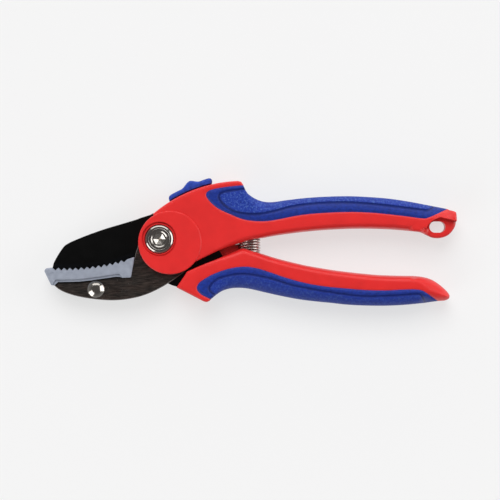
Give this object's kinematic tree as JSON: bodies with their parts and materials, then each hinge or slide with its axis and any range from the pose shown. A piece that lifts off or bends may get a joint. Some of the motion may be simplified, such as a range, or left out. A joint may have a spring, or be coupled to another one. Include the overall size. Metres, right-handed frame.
{
  "type": "anvil pruning shears",
  "caption": "Anvil pruning shears: a black blade closes on a toothed anvil between steel jaw plates, with two curved soft-grip handles, a return spring and a sliding catch.",
  "frame": {"origin": "on the pivot axis, in the plane of the tool's rear face, where the hub disc and the grips rest when it lies flat", "axes": "+Z out of the front face along the pivot bolt towards its head; +X along the tool from the pivot towards the handle tails; +Y in the plane of the tool, towards the handle that carries the catch"},
  "size_m": [0.2005, 0.0622, 0.018],
  "materials": {
    "red_nylon": "moulded, fine satin gloss",
    "blue_grip": "soft moulded grip, grained inside its border",
    "black_coat": "smooth black low-friction coating",
    "plate_steel": "dark brushed plate",
    "anvil_alloy": "matt die casting",
    "bright_steel": "bright plated",
    "spring_steel": "drawn wire",
    "bearing_bronze": "sintered bronze",
    "washer_nylon": "natural nylon",
    "blue_nylon": "moulded"
  },
  "bodies": {
    "anvil_lever": {"upper_handle": "red_nylon", "upper_grip": "blue_grip", "front_jaw_plate": "plate_steel", "rear_jaw_plate": "plate_steel", "anvil": "anvil_alloy", "anvil_rivet": "bright_steel", "pivot_bolt": "bright_steel", "bolt_washer": "bright_steel", "pivot_nut": "bright_steel", "nut_washer": "bright_steel", "lock_detent_spring": "spring_steel", "return_spring": "spring_steel"},
    "blade_lever": {"blade": "black_coat", "pivot_bush": "bearing_bronze", "front_thrust_washer": "washer_nylon", "rear_thrust_washer": "washer_nylon", "lower_handle": "red_nylon", "lower_grip": "blue_grip"},
    "lock": {"lock_slide": "blue_nylon", "lock_tongue": "plate_steel"}
  },
  "joints": [
    {"name": "handle_pivot", "type": "hinge", "parent": "anvil_lever", "child": "blade_lever", "pos_m": [0, 0, 0.009], "axis": [0, 0, -1], "range_deg": [0, 28], "deforming": ["return_spring"]},
    {"name": "lock_slide_joint", "type": "hinge", "parent": "anvil_lever", "child": "lock", "pos_m": [0.0364, -0.0298, 0.009], "axis": [0, 0, -1], "range_deg": [-5, 0]}
  ]
}
